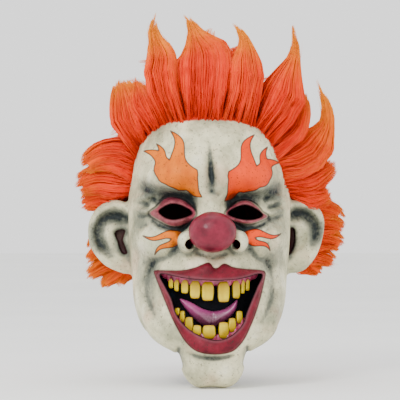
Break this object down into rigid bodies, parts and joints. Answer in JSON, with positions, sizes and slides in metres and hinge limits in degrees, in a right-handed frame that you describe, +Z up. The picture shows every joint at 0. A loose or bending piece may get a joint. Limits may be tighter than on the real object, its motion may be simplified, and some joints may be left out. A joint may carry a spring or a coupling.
{
  "type": "full-head latex mask",
  "caption": "Full-head latex clown mask with flame-shaped fur locks, ball nose, open toothed mouth, flared ears, foam pads and a strapped slit at the nape.",
  "frame": {"origin": "middle of the crown pad's flat underside, where the top of the wearer's head rests", "axes": "+Z up, the face looks towards -Y, +X is to the right of someone facing the mask"},
  "size_m": [0.27, 0.2765, 0.371],
  "materials": {
    "latex": "satin",
    "nose": "satin",
    "lining": "matte",
    "gums": "gloss",
    "teeth": "gloss",
    "tongue": "gloss",
    "fur": "matte",
    "foam": "matte",
    "webbing": "matte",
    "hook": "matte",
    "loop": "matte"
  },
  "bodies": {
    "shell": {"latex_skin": "latex", "clown_nose": "nose", "mouth_lining": "lining", "upper_gum": "gums", "lower_gum": "gums", "upper_tooth_1": "teeth", "upper_tooth_2": "teeth", "upper_tooth_3": "teeth", "upper_tooth_4": "teeth", "upper_tooth_5": "teeth", "upper_tooth_6": "teeth", "upper_tooth_7": "teeth", "upper_tooth_8": "teeth", "upper_tooth_9": "teeth", "lower_tooth_1": "teeth", "lower_tooth_2": "teeth", "lower_tooth_3": "teeth", "lower_tooth_4": "teeth", "lower_tooth_5": "teeth", "lower_tooth_6": "teeth", "lower_tooth_7": "teeth", "lower_tooth_8": "teeth", "tongue": "tongue", "hair_front": "fur", "hair_left": "fur", "hair_right": "fur", "hair_back": "fur", "crown_pad": "foam", "brow_pad": "foam", "strap_anchor_upper": "webbing", "loop_patch_upper": "loop", "strap_anchor_lower": "webbing", "loop_patch_lower": "loop"},
    "strap_upper": {"strap_upper": "webbing", "hook_patch_upper": "hook"},
    "strap_lower": {"strap_lower": "webbing", "hook_patch_lower": "hook"}
  },
  "joints": [
    {"name": "strap_upper_hinge", "type": "hinge", "parent": "shell", "child": "strap_upper", "pos_m": [-0.03099, 0.07905, -0.16552], "axis": [-0.0671, 0.2855, 0.956], "range_deg": [0, 120]},
    {"name": "strap_lower_hinge", "type": "hinge", "parent": "shell", "child": "strap_lower", "pos_m": [-0.02798, 0.07079, -0.19167], "axis": [-0.1944, 0.3219, 0.9266], "range_deg": [0, 120]}
  ]
}
